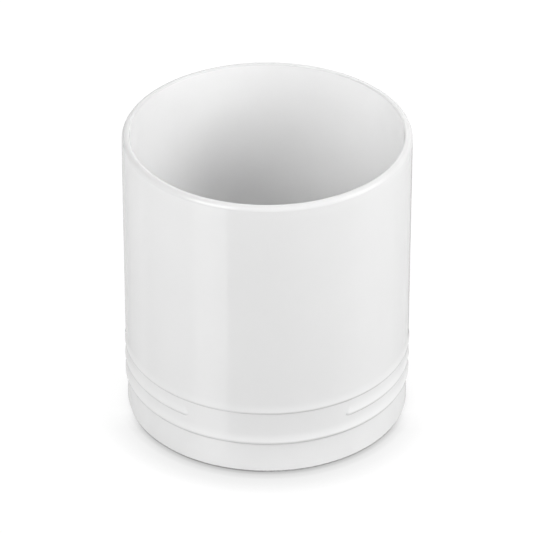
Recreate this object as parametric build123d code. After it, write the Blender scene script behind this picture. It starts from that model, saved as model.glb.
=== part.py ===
from build123d import *
import math
import os

# Glazed stoneware utensil crock, in millimetres.
# It stands on its foot ring with +Z up. The origin is the centre of the foot ring on the table.
# The plain panel between the ends of the middle ring faces -Y.

# Overall sizes of the glazed pot
height = 163.6
wall_radius = 76.0
wall_thickness = 4.0
floor_thickness = 6.5
floor_corner_radius = 9.0
glaze_thickness = 0.35

# Rim, with a tight inner edge, a narrow flat on top and a wide rounding on the outside
rim_inner_edge_radius = 0.7
rim_flat_width = 0.5

# Three raised rings low on the wall, each a ledge that flares out to a lip and steps back in below it
ring_count = 3
broken_ring = 1
lowest_lip_height = 19.3
ring_pitch = 9.5
lip_stand_out = 0.45
lip_radius = 1.5
step_depth = 0.75
step_height = 1.7
flare_share = 0.7

# Plain panel in the middle ring, and the curl with which that ring runs out into the wall beside it
panel_half_angle = 33.2
runout_radius = 4.0
ring_root_depth = 0.05
ring_key_depth = 1.5

# Base band below the lowest ring, foot ring and the recess inside it
base_set_back = 0.7
base_step_height = 2.6
foot_width = 8.0
foot_outer_edge_radius = 1.2
foot_inner_edge_radius = 0.6
recess_depth = 2.6
recess_corner_radius = 1.2
bare_foot_height = 0.7

# Values that follow from the sizes above
lip_reach = wall_radius + lip_stand_out
valley_radius = lip_reach - step_depth
base_radius = wall_radius - base_set_back
bore_radius = wall_radius - wall_thickness
rim_outer_edge_radius = wall_thickness - rim_inner_edge_radius - rim_flat_width
recess_radius = base_radius - foot_width
flare_height = flare_share * (ring_pitch - step_height)

# Two pieces of outline closer than this meet
joining_gap = 1e-6


def arc(centre, radius, start_angle, end_angle):
    """Arc in the section plane, from one angle to another in degrees."""
    return CenterArc(centre, radius, start_angle, end_angle - start_angle)


def closed_face(pieces):
    """Face in the section plane whose outline follows the pieces, with a straight line across each gap."""
    outline = []
    for piece, following in zip(pieces, pieces[1:] + pieces[:1]):
        outline.append(piece)
        if (following @ 0 - piece @ 1).length > joining_gap:
            outline.append(Line(piece @ 1, following @ 0))
    return make_face(outline)


def bend(depth, rise):
    """Angle in degrees and summed radii of two tangent arcs that shift a straight wall sideways by a depth."""
    angle = 2 * math.atan(depth / rise)
    return math.degrees(angle), rise / math.sin(angle)


def ledge(lip_height, above, below, drop, inset):
    """Outline of one ring, top to bottom: concave flare, rounded lip, concave step.

    Above and below are the radii of the straight walls that it joins, and drop is the height of the step.
    """
    reach = lip_reach - inset
    lip = lip_radius - inset
    lip_centre = (reach - lip, lip_height)
    flare_angle, flare_sum = bend(reach - above, flare_height)
    step_angle, step_sum = bend(reach - below, drop)
    flare_centre = (above + flare_sum - lip, lip_height + flare_height)
    step_centre = (below + step_sum - lip, lip_height - drop)
    return [
        arc(flare_centre, flare_sum - lip, 180, 180 + flare_angle),
        arc(lip_centre, lip, flare_angle, -step_angle),
        arc(step_centre, step_sum - lip, 180 - step_angle, 180),
    ]


def ring_height(ring):
    """Height of a ring's lip. The rings are counted from the top one, which is 0."""
    return lowest_lip_height + (ring_count - 1 - ring) * ring_pitch


def wall_above(ring):
    """Radius of the glazed wall above a ring."""
    return wall_radius if ring == 0 else valley_radius


def rings(inset):
    """Outlines of the rings that run all round, top to bottom."""
    pieces = []
    for ring in range(ring_count):
        if ring == broken_ring:
            continue
        lowest = ring == ring_count - 1
        below = base_radius if lowest else valley_radius
        drop = base_step_height if lowest else step_height
        pieces += ledge(ring_height(ring), wall_above(ring) - inset, below - inset, drop, inset)
    return pieces


def foot(inset):
    """Outline of the foot ring, from the outside inwards. It reaches the table at any inset."""
    outer_centre = (base_radius - inset - foot_outer_edge_radius, foot_outer_edge_radius)
    inner_centre = (recess_radius + inset + foot_inner_edge_radius, foot_inner_edge_radius)
    corner = recess_corner_radius + inset
    corner_centre = (recess_radius + inset - corner, recess_depth + inset - corner)
    return [
        arc(outer_centre, foot_outer_edge_radius, 0, -90),
        arc(inner_centre, foot_inner_edge_radius, 270, 180),
        arc(corner_centre, corner, 0, 90),
    ]


def inside(inset):
    """Outline of the inside, from the axis on the underside up over the floor to the top of the rim."""
    floor_top = recess_depth + floor_thickness - inset
    corner = floor_corner_radius + inset
    corner_centre = (bore_radius + inset - corner, floor_top + corner)
    inner_edge_centre = (bore_radius + rim_inner_edge_radius, height - rim_inner_edge_radius)
    outer_edge_centre = (wall_radius - rim_outer_edge_radius, height - rim_outer_edge_radius)
    return [
        Line((0, recess_depth + inset), (0, floor_top)),
        arc(corner_centre, corner, -90, 0),
        arc(inner_edge_centre, rim_inner_edge_radius - inset, 180, 90),
        arc(outer_edge_centre, rim_outer_edge_radius - inset, 90, 0),
    ]


def pot_section(inset):
    """Half section of the pot without its middle ring, set in from the glazed surface by the inset."""
    return Plane.XZ * closed_face(inside(inset) + rings(inset) + foot(inset))


def middle_ring_section(inset):
    """Section of the middle ring, keyed into the wall behind it."""
    root = valley_radius - ring_root_depth - inset
    pieces = ledge(ring_height(broken_ring), root, root, step_height, inset)
    top = pieces[0] @ 0
    bottom = pieces[-1] @ 1
    key = Line((root - ring_key_depth, bottom.Y), (root - ring_key_depth, top.Y))
    return Plane.XZ * closed_face(pieces + [key])


def runout_angles():
    """Turn of the curl until its lip is under the wall, and the azimuth that it covers until the ring vanishes."""
    axis_reach = lip_reach - runout_radius

    def turn_to(radius):
        cosine = (radius**2 - axis_reach**2 - runout_radius**2) / (2 * axis_reach * runout_radius)
        return math.acos(cosine)

    sunk = turn_to(valley_radius - step_depth)
    vanished = turn_to(valley_radius)
    across = runout_radius * math.sin(vanished)
    along = axis_reach + runout_radius * math.cos(vanished)
    return math.degrees(sunk), math.degrees(math.atan2(across, along))


def middle_ring(inset):
    """The middle ring with both of its ends curled into the wall beside the panel."""
    section = middle_ring_section(inset)
    sunk, covered = runout_angles()
    clear_angle = 2 * (panel_half_angle + covered)
    long_way = revolve(section, Axis.Z, 360 - clear_angle)
    curl_axis = Axis((lip_reach - runout_radius, 0, 0), (0, 0, 1))
    first_curl = revolve(section, curl_axis, -sunk)
    last_curl = Rot(Z=360 - clear_angle) * revolve(section, curl_axis, sunk)
    return Rot(Z=clear_angle / 2 - 90) * (long_way + [first_curl, last_curl])


def pot(inset):
    """The whole pot as one solid, set in from the glazed surface by the inset."""
    return revolve(pot_section(inset), Axis.Z) + middle_ring(inset)


def glaze(clay):
    """The glaze on the clay in two coats: over the outside, rim and inside, and in the recess under the base."""
    bare_foot = Cylinder(lip_reach, bare_foot_height, align=(Align.CENTER, Align.CENTER, Align.MIN))
    coats = (pot(0) - clay - bare_foot).solids().sort_by(Axis.Z)
    return coats[-1], coats[0]


def main():
    clay = pot(glaze_thickness)
    coat, underside = glaze(clay)
    os.makedirs("parts", exist_ok=True)
    export_step(clay, "parts/stoneware_body.step")
    export_step(coat, "parts/glaze_coat.step")
    export_step(underside, "parts/underside_glaze.step")


main()
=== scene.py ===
import math
import bmesh
import bpy
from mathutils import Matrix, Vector, noise


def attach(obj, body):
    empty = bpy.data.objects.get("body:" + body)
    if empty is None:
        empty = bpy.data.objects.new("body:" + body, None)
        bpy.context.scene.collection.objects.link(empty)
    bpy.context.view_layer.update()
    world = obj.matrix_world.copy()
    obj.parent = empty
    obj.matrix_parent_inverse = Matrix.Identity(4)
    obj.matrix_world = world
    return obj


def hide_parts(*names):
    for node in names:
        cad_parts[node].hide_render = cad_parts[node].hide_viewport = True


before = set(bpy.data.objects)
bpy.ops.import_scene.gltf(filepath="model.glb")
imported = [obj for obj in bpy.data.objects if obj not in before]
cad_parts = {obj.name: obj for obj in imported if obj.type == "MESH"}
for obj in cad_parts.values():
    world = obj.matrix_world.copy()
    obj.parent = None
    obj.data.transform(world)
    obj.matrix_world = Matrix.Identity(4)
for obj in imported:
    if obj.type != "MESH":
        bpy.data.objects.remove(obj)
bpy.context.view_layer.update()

# Sizes of the pot in metres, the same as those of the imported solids
height = 0.1636
wall_radius = 0.076
wall_thickness = 0.004
floor_thickness = 0.0065
floor_corner_radius = 0.009
glaze_thickness = 0.00035
rim_inner_edge_radius = 0.0007
rim_flat_width = 0.0005
ring_count = 3
broken_ring = 1
lowest_lip_height = 0.0193
ring_pitch = 0.0095
lip_stand_out = 0.00045
lip_radius = 0.0015
step_depth = 0.00075
step_height = 0.0017
flare_share = 0.7
panel_half_angle = 33.2
runout_radius = 0.004
base_set_back = 0.0007
base_step_height = 0.0026
foot_width = 0.008
foot_outer_edge_radius = 0.0012
recess_depth = 0.0026
recess_corner_radius = 0.0012
bare_foot_height = 0.0007

# Values that follow from the sizes
lip_reach = wall_radius + lip_stand_out
valley_radius = lip_reach - step_depth
base_radius = wall_radius - base_set_back
bore_radius = wall_radius - wall_thickness
rim_outer_edge_radius = wall_thickness - rim_inner_edge_radius - rim_flat_width
recess_radius = base_radius - foot_width
flare_height = flare_share * (ring_pitch - step_height)

# Fineness of the glaze meshes
column_angle = 1.5
runout_column_angle = 0.15
runout_margin_angle = 0.5
row_height = 0.004
row_angle = 9.0
flare_rows = 5
foot_rows = 5
bead_rows = 4

# Unevenness of the glazed surface and of the glaze's edge: height and length of each wave
slow_wave = (0.00005, 0.035)
quick_wave = (0.000012, 0.011)
line_wave = (0.00025, 0.012)

# Plain colours, and the middle part of a noise that is spread over 0 to 1
white = (1, 1, 1, 1)
black = (0, 0, 0, 1)
noise_span = (0.3, 0.7)

# Glaze: colour of the inner coat, lighter as painted light inside the pot, of the outer one, darker on a ridge as
# painted shade and lighter on a slope that looks up as painted light, and the sizes of its clouds, gloss patches,
# orange peel and pinholes
# Inner glaze lighter than the outer one: painted light inside the pot
painted_light_inner_glaze = (0.875, 0.875, 0.875, 1)
outer_glaze = (0.803, 0.803, 0.803, 1)
# Darker glaze on ridges, the rim and the ring lips: painted shade
ridge_shade_glaze = (0.742, 0.742, 0.742, 1)
ridge_shade_turning = 0.6
# Lighter glaze where the surface looks up: painted light
up_slope_light_glaze = (0.832, 0.832, 0.832, 1)
up_slope_light_range = (0.02, 0.26)
cloud_size = 0.03
cloud_depth = 0.15
glaze_roughness = (0.05, 0.09)
gloss_patch_size = 0.008
peel_size = 0.0028
peel_detail = 1.0
peel_height = 0.000006
pinhole_spacing = 0.014
pinhole_radius = 0.00035
pinhole_colour = (0.6, 0.57, 0.52, 1)

# Bare stoneware: light and dark clay, sandy grain and iron specks
light_clay = (0.76, 0.72, 0.65, 1)
dark_clay = (0.68, 0.63, 0.55, 1)
clay_patch_size = 0.009
clay_patch_detail = 4.0
clay_roughness = (0.75, 0.95)
grain_size = 0.0006
grain_detail = 3.0
grain_height = 0.00004
speck_spacing = 0.0022
speck_radius = 0.0003
speck_colour = (0.3, 0.22, 0.16, 1)

# Backdrop that the pot stands on. In sight it is white with the pot's shadow: a glow of its own and a share that the
# lamps light. To all other rays it is grey, paler close to the pot and darkest in the gloss far off. A contact shade
# has a reach and a depth. The shades lean towards the pot from the front, and between two lines across, at the pot's
# sides, they fall to a share.
floor_half_width = 3.0
own_white = 0.96
lit_white = (0.06, 0.06, 0.06, 1)
near_paper = (0.55, 0.55, 0.55, 1)
near_paper_radii = (0.085, 0.115)
far_paper = (0.45, 0.45, 0.45, 1)
far_mirrored_paper = (0.17, 0.17, 0.17, 1)
contact_shade_lean = 70
contact_shades = ((0.0008, 0.75), (0.003, 0.37), (0.007, 0.3), (0.022, 0.35))
contact_shade_lines = (-0.036, -0.019)
side_shade_share = 0.3
fibre_size = 0.002
fibre_detail = 3.0
fibre_height = 0.00002

# Camera, fitted to the rim, the ring lines and the foot in the 533 pixel wide photograph
image_width = 533
focal_length_pixels = 4137.15
centre_column_pixels = 267.106
camera_distance = 29 * wall_radius
camera_elevation = math.radians(32.3812)
aim_height = 0.08071
sensor_width = 36

# Softboxes that light the pot, and lamps that show in the gloss alone: azimuth from the front and elevation in
# degrees, and radiance
softbox_size = 0.9
softbox_distance = 1.3
softbox_aim = Vector((0, 0, 0.08))
fill_lights = {
    "front_fill": (-30, 20, 4.12),
    "right_front_fill": (60, 20, 1.6),
    "right_fill": (75, 32, 3.72),
    "back_fill": (180, 20, 6.0),
    "left_fill": (-90, 20, 1.4),
    "high_right_fill": (90, 45, 3.27),
    "high_front_fill": (-30, 45, 1.41),
    "high_left_fill": (-60, 45, 1.65),
}
highlight_lamps = {
    "left_highlight": (-42, 30, 4.2),
    "right_highlight": (79, 30, 2.6),
}

# What else the gloss mirrors: the surround, a pale backdrop low down behind the pot, which fades out over a rise and
# towards the sides, cards that show as stripes from one azimuth on the wall to another, and one card behind the pot
mirrored_surround = 0.15
mirrored_backdrop = 0.8
backdrop_rise = (0.35, 0.6)
backdrop_sides = (-0.1, 0.3)
card_height = 0.0003
card_reach = 1.4
cards = {
    "left_outer_card": (-86, -57, 0.75),
    "left_card": (-57, -30, 0.4),
    "left_white_card": (-30, -15.9, 1.0),
    "right_card": (30, 38, 0.5),
    "right_white_card": (38, 61, 0.85),
    "right_outer_card": (61, 84, 0.7),
}
back_card_half_width = 0.07
back_card_tone = 0.7


def arc(centre, radius, start_angle, end_angle, rows=0):
    """Points of an arc in the section, both ends included, with angles in degrees."""
    rows = rows or max(2, math.ceil(abs(end_angle - start_angle) / row_angle))
    turns = [math.radians(start_angle + (end_angle - start_angle) * i / rows) for i in range(rows + 1)]
    return [(centre[0] + radius * math.cos(a), centre[1] + radius * math.sin(a)) for a in turns]


def join(*stretches):
    """One outline out of several, with points along the straight lines between them."""
    points = list(stretches[0])
    for stretch in stretches[1:]:
        (r0, z0), (r1, z1) = points[-1], stretch[0]
        length = math.hypot(r1 - r0, z1 - z0)
        rows = math.ceil(length / row_height)
        points += [(r0 + (r1 - r0) * i / rows, z0 + (z1 - z0) * i / rows) for i in range(1, rows)]
        points += stretch if rows else stretch[1:]
    return points


def bend(depth, rise):
    """Angle in degrees and summed radii of two tangent arcs that shift a straight wall sideways by a depth."""
    angle = 2 * math.atan(depth / rise)
    return math.degrees(angle), rise / math.sin(angle)


def ledge(lip_height, above, below, drop, inset):
    """Outline of one ring, top to bottom: concave flare, rounded lip, concave step."""
    reach = lip_reach - inset
    lip = lip_radius - inset
    flare_angle, flare_sum = bend(reach - above, flare_height)
    step_angle, step_sum = bend(reach - below, drop)
    flare_centre = (above + flare_sum - lip, lip_height + flare_height)
    step_centre = (below + step_sum - lip, lip_height - drop)
    flare = arc(flare_centre, flare_sum - lip, 180, 180 + flare_angle, flare_rows)
    rounding = arc((reach - lip, lip_height), lip, flare_angle, -step_angle)
    step = arc(step_centre, step_sum - lip, 180 - step_angle, 180)
    return flare + rounding[1:-1] + step


def runout():
    """Distance of the curl's centre from the pot's axis, and the azimuth that the curl covers."""
    centre = lip_reach - runout_radius
    cosine = (valley_radius**2 - centre**2 - runout_radius**2) / (2 * centre * runout_radius)
    turn = math.acos(cosine)
    return centre, math.degrees(math.atan2(runout_radius * math.sin(turn), valley_radius))


def sunk(azimuth):
    """How deep the middle ring has sunk into the wall at an azimuth from the front, in degrees."""
    centre, covered = runout()
    past = math.radians(panel_half_angle + covered - abs(azimuth))
    if past <= 0:
        return 0.0
    half_chord = runout_radius**2 - (centre * math.sin(past))**2
    if half_chord <= 0:
        return lip_reach
    return lip_reach - centre * math.cos(past) - math.sqrt(half_chord)


def rings(inset, azimuth):
    """Outline of the three rings at an azimuth, top to bottom."""
    points = []
    for ring in range(ring_count):
        above = (wall_radius if ring == 0 else valley_radius) - inset
        lowest = ring == ring_count - 1
        below = (base_radius if lowest else valley_radius) - inset
        drop = base_step_height if lowest else step_height
        lip_height = lowest_lip_height + (ring_count - 1 - ring) * ring_pitch
        outline = ledge(lip_height, above, below, drop, inset)
        if ring == broken_ring:
            depth = sunk(azimuth)
            outline = [(max(r - depth, valley_radius - inset), z) for r, z in outline]
        points += outline
    return points


def wave(size, point):
    """Height of a wave with a given size, at a point of the surface."""
    return size[0] * noise.noise(point / size[1])


def place(azimuth, point):
    """Where a point of the section lies at an azimuth from the front."""
    turn = math.radians(azimuth)
    return Vector((point[0] * math.sin(turn), -point[0] * math.cos(turn), point[1]))


def line_height(azimuth, radius):
    """Height of the glaze's uneven edge above the table, on the foot ring's outer or inner side."""
    return bare_foot_height + wave(line_wave, place(azimuth, (radius, 0)))


def pot_outline(inset, azimuth):
    """The glaze from the axis over the floor, up to the rim and down to its edge on the foot."""
    floor_top = recess_depth + floor_thickness - inset
    corner = floor_corner_radius + inset
    corner_centre = (bore_radius + inset - corner, floor_top + corner)
    inner_edge_centre = (bore_radius + rim_inner_edge_radius, height - rim_inner_edge_radius)
    outer_edge_centre = (wall_radius - rim_outer_edge_radius, height - rim_outer_edge_radius)
    foot_centre = (base_radius - inset - foot_outer_edge_radius, foot_outer_edge_radius)
    line_angle = math.degrees(math.asin(1 - line_height(azimuth, base_radius) / foot_outer_edge_radius))
    return join(
        [(0, floor_top)],
        arc(corner_centre, corner, -90, 0),
        arc(inner_edge_centre, rim_inner_edge_radius - inset, 180, 90),
        arc(outer_edge_centre, rim_outer_edge_radius - inset, 90, 0),
        rings(inset, azimuth),
        arc(foot_centre, foot_outer_edge_radius, 0, -line_angle, foot_rows),
    )


def recess_outline(inset, azimuth):
    """The glaze from the axis over the underside and down to its edge on the inner side of the foot ring."""
    corner = recess_corner_radius + inset
    corner_centre = (recess_radius + inset - corner, recess_depth + inset - corner)
    return join(
        [(0, recess_depth + inset)],
        arc(corner_centre, corner, 90, 0),
        [(recess_radius + inset, line_height(azimuth, recess_radius))],
    )


def bead(outer, inner, before):
    """Rounded edge of the glaze, from its outer to its inner end, bulging the way the outline came."""
    middle = (outer + inner) / 2
    out = outer - middle
    ahead = (outer - before).normalized() * out.length
    turns = [math.pi * i / bead_rows for i in range(1, bead_rows)]
    return [middle + out * math.cos(a) + ahead * math.sin(a) for a in turns]


def ripple(azimuth, outline):
    """Places of the outline's points at an azimuth, moved square to the surface by the waves of the glaze."""
    points = [Vector(p) for p in outline]
    placed = []
    for i, point in enumerate(points):
        along = points[min(i + 1, len(points) - 1)] - points[max(i - 1, 0)]
        normal = Vector((along.y, -along.x)).normalized()
        spot = place(azimuth, point)
        lift = wave(slow_wave, spot) + wave(quick_wave, spot)
        placed.append(point + normal * lift)
    return placed


def convexity(points):
    """Turning of the outline at each point, in radians per lip radius: over 0 on ridges and under 0 in hollows."""
    found = [0.0]
    for before, here, after in zip(points, points[1:], points[2:]):
        first, second = here - before, after - here
        length = (first.length + second.length) / 2
        found.append(first.angle_signed(second, 0.0) / length * lip_radius if length > 0 else 0.0)
    return found + [0.0]


def columns():
    """Azimuths of the mesh's columns, in degrees from the front, close together where the middle ring ends."""
    covered = runout()[1]
    near = panel_half_angle - runout_margin_angle
    far = panel_half_angle + covered + runout_margin_angle
    spans = [(-180, -far, column_angle), (-far, -near, runout_column_angle), (-near, near, column_angle)]
    spans += [(near, far, runout_column_angle), (far, 180, column_angle)]
    found = []
    for start, end, step in spans:
        count = math.ceil((end - start) / step)
        found += [start + (end - start) * i / count for i in range(count)]
    return found


def skin(name, outline, node):
    """A closed coat of glaze: its visible side, its rounded edge and the side that lies on the clay."""
    mesh = bpy.data.meshes.new(name)
    bm = bmesh.new()
    ridge = bm.verts.layers.float.new("ridge")
    grid = []
    for azimuth in columns():
        visible = ripple(azimuth, outline(0.0, azimuth))
        hidden = [Vector(p) for p in outline(glaze_thickness, azimuth)]
        points = visible + bead(visible[-1], hidden[-1], visible[-2]) + hidden[::-1]
        column = []
        for point, turning in zip(points, convexity(points)):
            first_or_last = point in (points[0], points[-1])
            vert = grid[0][len(column)] if grid and first_or_last else bm.verts.new(place(azimuth, point))
            vert[ridge] = turning
            column.append(vert)
        grid.append(column)
    for left, right in zip(grid, grid[1:] + grid[:1]):
        for i in range(len(left) - 1):
            corners = [left[i], left[i + 1], right[i + 1], right[i]]
            bm.faces.new(dict.fromkeys(corners))
    bmesh.ops.recalc_face_normals(bm, faces=bm.faces)
    for face in bm.faces:
        face.smooth = True
    bm.to_mesh(mesh)
    bm.free()
    piece = bpy.data.objects.new(name, mesh)
    bpy.context.scene.collection.objects.link(piece)
    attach(piece, "root")
    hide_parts(node)
    return piece


def add_node(tree, kind, inputs, **settings):
    """A new shader node with its settings. Its inputs take numbers and colours, or outputs to link to."""
    made = tree.nodes.new("ShaderNode" + kind)
    for name, value in settings.items():
        setattr(made, name, value)
    for name, value in inputs.items():
        if isinstance(value, bpy.types.NodeSocket):
            tree.links.new(value, made.inputs[name])
        else:
            made.inputs[name].default_value = value
    return made


def new_material(name):
    """A material with its node tree, its shader and the object coordinates in metres."""
    material = bpy.data.materials.new(name)
    material.use_nodes = True
    tree = material.node_tree
    spot = add_node(tree, "TexCoord", {}).outputs["Object"]
    return material, tree, tree.nodes["Principled BSDF"], spot


def computed(tree, operation, first, second):
    """What an operation makes of two numbers."""
    return add_node(tree, "Math", {0: first, 1: second}, operation=operation).outputs[0]


def between(tree, value, old, new):
    """A value carried over from one range to another and held inside it."""
    ends = {"From Min": old[0], "From Max": old[1], "To Min": new[0], "To Max": new[1]}
    return add_node(tree, "MapRange", {"Value": value, **ends}).outputs["Result"]


def patches(tree, spot, size, detail=2.0):
    """Noise in patches of about a given size, from 0 to 1."""
    grain = add_node(tree, "TexNoise", {"Vector": spot, "Scale": 1 / size, "Detail": detail})
    return between(tree, grain.outputs["Fac"], noise_span, (0, 1))


def blended(tree, share, first, second):
    """A colour between two others."""
    mix = add_node(tree, "Mix", {"Factor": share}, data_type="RGBA")
    for name, colour in (("A", first), ("B", second)):
        if isinstance(colour, bpy.types.NodeSocket):
            tree.links.new(colour, mix.inputs[name])
        else:
            mix.inputs[name].default_value = colour
    return mix.outputs["Result"]


def dots(tree, spot, spacing, radius):
    """Scattered round dots, 1 in their middle and 0 outside."""
    cells = add_node(tree, "TexVoronoi", {"Vector": spot, "Scale": 1 / spacing})
    return between(tree, cells.outputs["Distance"], (0, radius / spacing), (1, 0))


def axis_distance(tree, spot):
    """Distance of a point from the pot's axis."""
    across = add_node(tree, "VectorMath", {0: spot, 1: (1, 1, 0)}, operation="MULTIPLY").outputs["Vector"]
    return add_node(tree, "VectorMath", {0: across}, operation="LENGTH").outputs["Value"]


def bump(tree, shader, height_share, depth):
    """Relief of a given depth on a shader."""
    relief = add_node(tree, "Bump", {"Height": height_share, "Distance": depth, "Strength": 1.0})
    tree.links.new(relief.outputs["Normal"], shader.inputs["Normal"])


def glaze_colour(tree, spot):
    """Lighter inside the pot and on slopes that look up as painted light, darker on ridges as painted shade, faintly
    clouded, with a few pinholes.
    """
    outside = between(tree, axis_distance(tree, spot), (bore_radius, wall_radius), (0, 1))
    normal = add_node(tree, "TexCoord", {}).outputs["Normal"]
    # Painted light: the outer glaze is lighter where the surface looks up
    slope = add_node(tree, "SeparateXYZ", {"Vector": normal}).outputs["Z"]
    outer = blended(tree, between(tree, slope, up_slope_light_range, (0, 1)), outer_glaze, up_slope_light_glaze)
    # Painted light: the inside of the pot gets the lighter inner glaze
    coat = blended(tree, outside, painted_light_inner_glaze, outer)
    clouds = computed(tree, "MULTIPLY", patches(tree, spot, cloud_size), cloud_depth)
    ridge = add_node(tree, "Attribute", {}, attribute_name="ridge").outputs["Fac"]
    # Painted shade on ridges, mixed with the random clouds
    ridge_shade_and_clouds = computed(tree, "MAXIMUM", between(tree, ridge, (0, ridge_shade_turning), (0, 1)), clouds)
    colour = blended(tree, ridge_shade_and_clouds, coat, ridge_shade_glaze)
    return blended(tree, dots(tree, spot, pinhole_spacing, pinhole_radius), colour, pinhole_colour)


def glaze_material():
    """Glossy white glaze, a little uneven in its gloss, with orange peel."""
    material, tree, shader, spot = new_material("white_glaze")
    tree.links.new(glaze_colour(tree, spot), shader.inputs["Base Color"])
    gloss = between(tree, patches(tree, spot, gloss_patch_size), (0, 1), glaze_roughness)
    tree.links.new(gloss, shader.inputs["Roughness"])
    bump(tree, shader, patches(tree, spot, peel_size, peel_detail), peel_height)
    return material


def clay_material():
    """Bare fired stoneware: off-white, matt and sandy, with fine iron specks."""
    material, tree, shader, spot = new_material("bare_stoneware")
    colour = blended(tree, patches(tree, spot, clay_patch_size, clay_patch_detail), light_clay, dark_clay)
    specks = dots(tree, spot, speck_spacing, speck_radius)
    colour = blended(tree, specks, colour, speck_colour)
    tree.links.new(colour, shader.inputs["Base Color"])
    grain = patches(tree, spot, grain_size, grain_detail)
    tree.links.new(between(tree, grain, (0, 1), clay_roughness), shader.inputs["Roughness"])
    bump(tree, shader, grain, grain_height)
    return material


def ray_shares(tree):
    """1 where a surface is in sight, straight or through glass, and 1 where it is mirrored."""
    path = add_node(tree, "LightPath", {}).outputs
    in_sight = computed(tree, "MAXIMUM", path["Is Camera Ray"], path["Is Transmission Ray"])
    return in_sight, path["Is Glossy Ray"]


def paper_tone(tree, spot, in_sight, in_gloss):
    """Colour of the backdrop under the lamps, by the kind of ray that meets it."""
    far_off = between(tree, axis_distance(tree, spot), near_paper_radii, (0, 1))
    far_unseen = blended(tree, in_gloss, far_paper, far_mirrored_paper)
    unseen = blended(tree, far_off, near_paper, far_unseen)
    return blended(tree, in_sight, unseen, lit_white)


def with_contact_shades(tree, spot, glow):
    """The backdrop's glow, darkened where the pot stands close to it."""
    lean = math.radians(contact_shade_lean)
    back_and_up = add_node(tree, "CombineXYZ", {"Y": math.sin(lean), "Z": math.cos(lean)}).outputs["Vector"]
    across = add_node(tree, "SeparateXYZ", {"Vector": spot}).outputs["Y"]
    in_front = between(tree, across, contact_shade_lines, (1, side_shade_share))
    for reach, depth in contact_shades:
        clear = add_node(tree, "AmbientOcclusion", {"Distance": reach, "Normal": back_and_up}).outputs["AO"]
        shade = computed(tree, "MULTIPLY", between(tree, clear, (0, 1), (depth, 0)), in_front)
        glow = computed(tree, "MULTIPLY", glow, computed(tree, "SUBTRACT", 1.0, shade))
    return glow


def paper_material():
    """Matt backdrop paper with a faint grain, which glows white in sight."""
    material, tree, shader, spot = new_material("backdrop_paper")
    in_sight, in_gloss = ray_shares(tree)
    tree.links.new(paper_tone(tree, spot, in_sight, in_gloss), shader.inputs["Base Color"])
    glow = computed(tree, "MULTIPLY", in_sight, own_white)
    tree.links.new(with_contact_shades(tree, spot, glow), shader.inputs["Emission Strength"])
    shader.inputs["Emission Color"].default_value = white
    shader.inputs["Roughness"].default_value = 1.0
    shader.inputs["Specular IOR Level"].default_value = 0.0
    bump(tree, shader, patches(tree, spot, fibre_size, fibre_detail), fibre_height)
    return material


def add_floor():
    """The flat backdrop that the pot stands on."""
    w = floor_half_width
    mesh = bpy.data.meshes.new("backdrop")
    mesh.from_pydata([(-w, -w, 0), (w, -w, 0), (w, w, 0), (-w, w, 0)], [], [(0, 1, 2, 3)])
    mesh.materials.append(paper_material())
    backdrop = bpy.data.objects.new("backdrop", mesh)
    bpy.context.scene.collection.objects.link(backdrop)


def add_camera():
    """The camera at the photograph's viewing angle, in front of the pot and looking along +Y."""
    lens = bpy.data.cameras.new("camera")
    lens.sensor_width = sensor_width
    lens.lens = focal_length_pixels / image_width * sensor_width
    lens.shift_x = (image_width / 2 - centre_column_pixels) / image_width
    camera = bpy.data.objects.new("camera", lens)
    back = camera_distance * math.cos(camera_elevation)
    up = camera_distance * math.sin(camera_elevation)
    camera.location = (0, -back, aim_height + up)
    camera.rotation_euler = (math.pi / 2 - camera_elevation, 0, 0)
    bpy.context.scene.collection.objects.link(camera)
    bpy.context.scene.camera = camera


def add_softbox(name, azimuth, elevation, radiance, in_gloss):
    """A round softbox that faces the pot, and either lights it or shows in its gloss alone."""
    data = bpy.data.lights.new(name, "AREA")
    data.shape = "DISK"
    data.size = softbox_size
    data.energy = radiance * math.pi * math.pi * (softbox_size / 2) ** 2
    turn, climb = math.radians(azimuth), math.radians(elevation)
    away = Vector((math.sin(turn) * math.cos(climb), -math.cos(turn) * math.cos(climb), math.sin(climb)))
    light = bpy.data.objects.new(name, data)
    light.visible_glossy = in_gloss
    light.visible_diffuse = not in_gloss
    light.location = softbox_aim + softbox_distance * away
    light.rotation_euler = away.to_track_quat("Z", "Y").to_euler()
    bpy.context.scene.collection.objects.link(light)


def stripe(start, end):
    """Corners of a card that the wall mirrors as an upright stripe between two azimuths.

    What the wall mirrors at an azimuth lies on a line that leaves it at twice that azimuth.
    """
    corners = []
    for azimuth, away in ((start, 0), (end, 0), (end, card_reach), (start, card_reach)):
        corners.append(place(azimuth, (wall_radius, card_height)) + place(2 * azimuth, (away, 0)))
    return corners


def strip_behind(half_width):
    """Corners of a card that runs straight back from the pot."""
    sides = (-half_width, half_width, half_width, -half_width)
    ends = (wall_radius, wall_radius, wall_radius + card_reach, wall_radius + card_reach)
    return [(x, y, card_height) for x, y in zip(sides, ends)]


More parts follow.
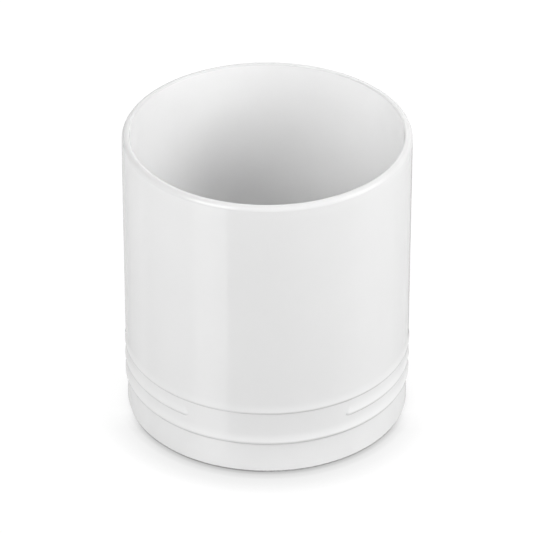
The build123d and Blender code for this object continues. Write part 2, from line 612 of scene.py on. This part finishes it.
def add_card(name, corners, tone):
    """A card that lies by the pot, shows in the gloss alone and gives no light or shadow."""
    mesh = bpy.data.meshes.new(name)
    mesh.from_pydata(corners, [], [(0, 1, 2, 3)])
    material, tree, shader, spot = new_material(name)
    tree.links.new(patches(tree, spot, fibre_size), shader.inputs["Roughness"])
    shader.inputs["Base Color"].default_value = black
    shader.inputs["Emission Color"].default_value = white
    shader.inputs["Emission Strength"].default_value = tone
    mesh.materials.append(material)
    card = bpy.data.objects.new(name, mesh)
    card.visible_camera = card.visible_diffuse = card.visible_shadow = card.visible_transmission = False
    bpy.context.scene.collection.objects.link(card)


def mirrored_tone(tree):
    """Tone that the gloss mirrors in a direction: the pale backdrop, or the grey surround above it and in front."""
    direction = add_node(tree, "TexCoord", {}).outputs["Generated"]
    towards = add_node(tree, "SeparateXYZ", {"Vector": direction}).outputs
    behind = between(tree, towards["Z"], backdrop_rise, (mirrored_backdrop, mirrored_surround))
    return between(tree, towards["Y"], backdrop_sides, (mirrored_surround, behind))


def add_world():
    """The surround: white in sight, with its own tones in the gloss, and without light for the pot."""
    world = bpy.data.worlds.new("surround")
    world.use_nodes = True
    tree = world.node_tree
    surround = tree.nodes["Background"]
    surround.inputs["Color"].default_value = white
    in_sight, in_gloss = ray_shares(tree)
    mirrored = computed(tree, "MULTIPLY", in_gloss, mirrored_tone(tree))
    tree.links.new(computed(tree, "MAXIMUM", in_sight, mirrored), surround.inputs["Strength"])
    bpy.context.scene.world = world


glaze = glaze_material()
skin("pot_glaze", pot_outline, "glaze_coat").data.materials.append(glaze)
skin("recess_glaze", recess_outline, "underside_glaze").data.materials.append(glaze)
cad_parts["stoneware_body"].material_slots[0].material = clay_material()

add_floor()
add_camera()
for name, aim_and_radiance in fill_lights.items():
    add_softbox(name, *aim_and_radiance, in_gloss=False)
for name, aim_and_radiance in highlight_lamps.items():
    add_softbox(name, *aim_and_radiance, in_gloss=True)
for name, (start, end, tone) in cards.items():
    add_card(name, stripe(start, end), tone)
add_card("back_card", strip_behind(back_card_half_width), back_card_tone)
add_world()
bpy.context.scene.view_settings.view_transform = "Standard"
